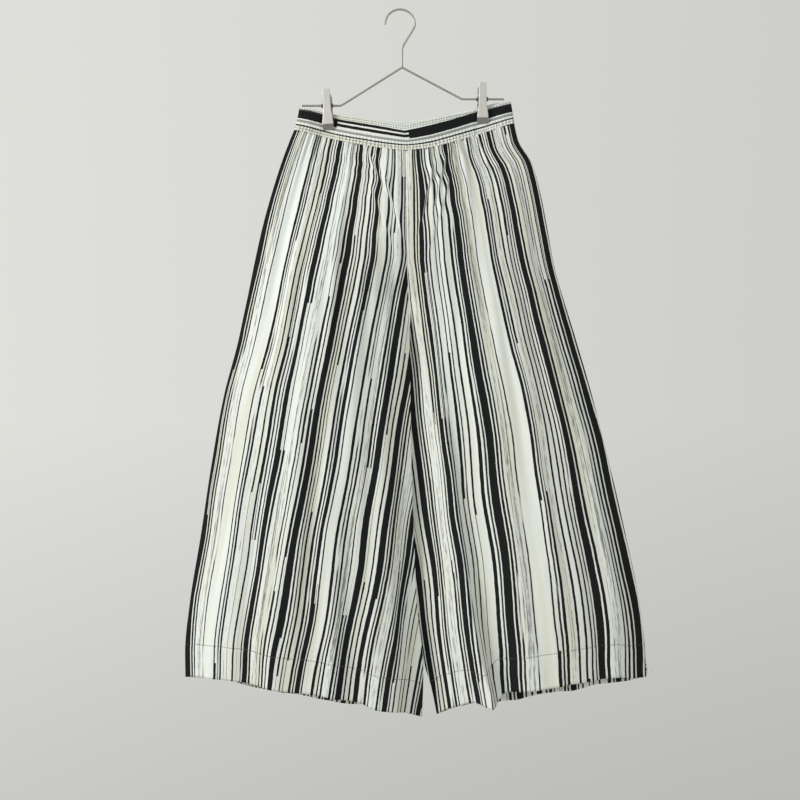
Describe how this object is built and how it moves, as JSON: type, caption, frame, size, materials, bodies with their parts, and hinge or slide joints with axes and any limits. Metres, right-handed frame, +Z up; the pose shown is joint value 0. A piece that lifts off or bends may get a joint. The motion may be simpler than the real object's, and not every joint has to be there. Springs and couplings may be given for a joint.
{
  "type": "wide-leg trousers on a wire clip hanger",
  "caption": "Striped wide-leg pull-on trousers with a gathered elastic waistband, hanging flat from a steel wire hanger by its spring clips.",
  "frame": {"origin": "The inside top of the hanger's hook, where it sits on a peg or a rail.", "axes": "+Z up, -Y the trousers' front, +X to the right as seen from the front."},
  "size_m": [0.6687, 0.0879, 1.0199],
  "materials": {
    "trouser_cloth": "light plain-weave cotton with dark brushed stripes, soft matt",
    "waistband_cloth": "the same striped cotton turned crosswise over elastic, stitched in rows",
    "hanger_wire": "satin drawn steel wire",
    "clip_plate": "pressed steel with a fine satin nickel finish",
    "clip_spring": "dark oiled spring steel"
  },
  "bodies": {
    "root": {"waistband_front": "waistband_cloth", "waistband_back": "waistband_cloth", "leg_left_front": "trouser_cloth", "leg_left_back": "trouser_cloth", "leg_right_front": "trouser_cloth", "leg_right_back": "trouser_cloth", "hanger_hook_wire": "hanger_wire", "hanger_frame_wire": "hanger_wire", "clip_left_front_jaw": "clip_plate", "clip_left_back_jaw": "clip_plate", "clip_left_spring": "clip_spring", "clip_right_front_jaw": "clip_plate", "clip_right_back_jaw": "clip_plate", "clip_right_spring": "clip_spring"}
  },
  "joints": []
}
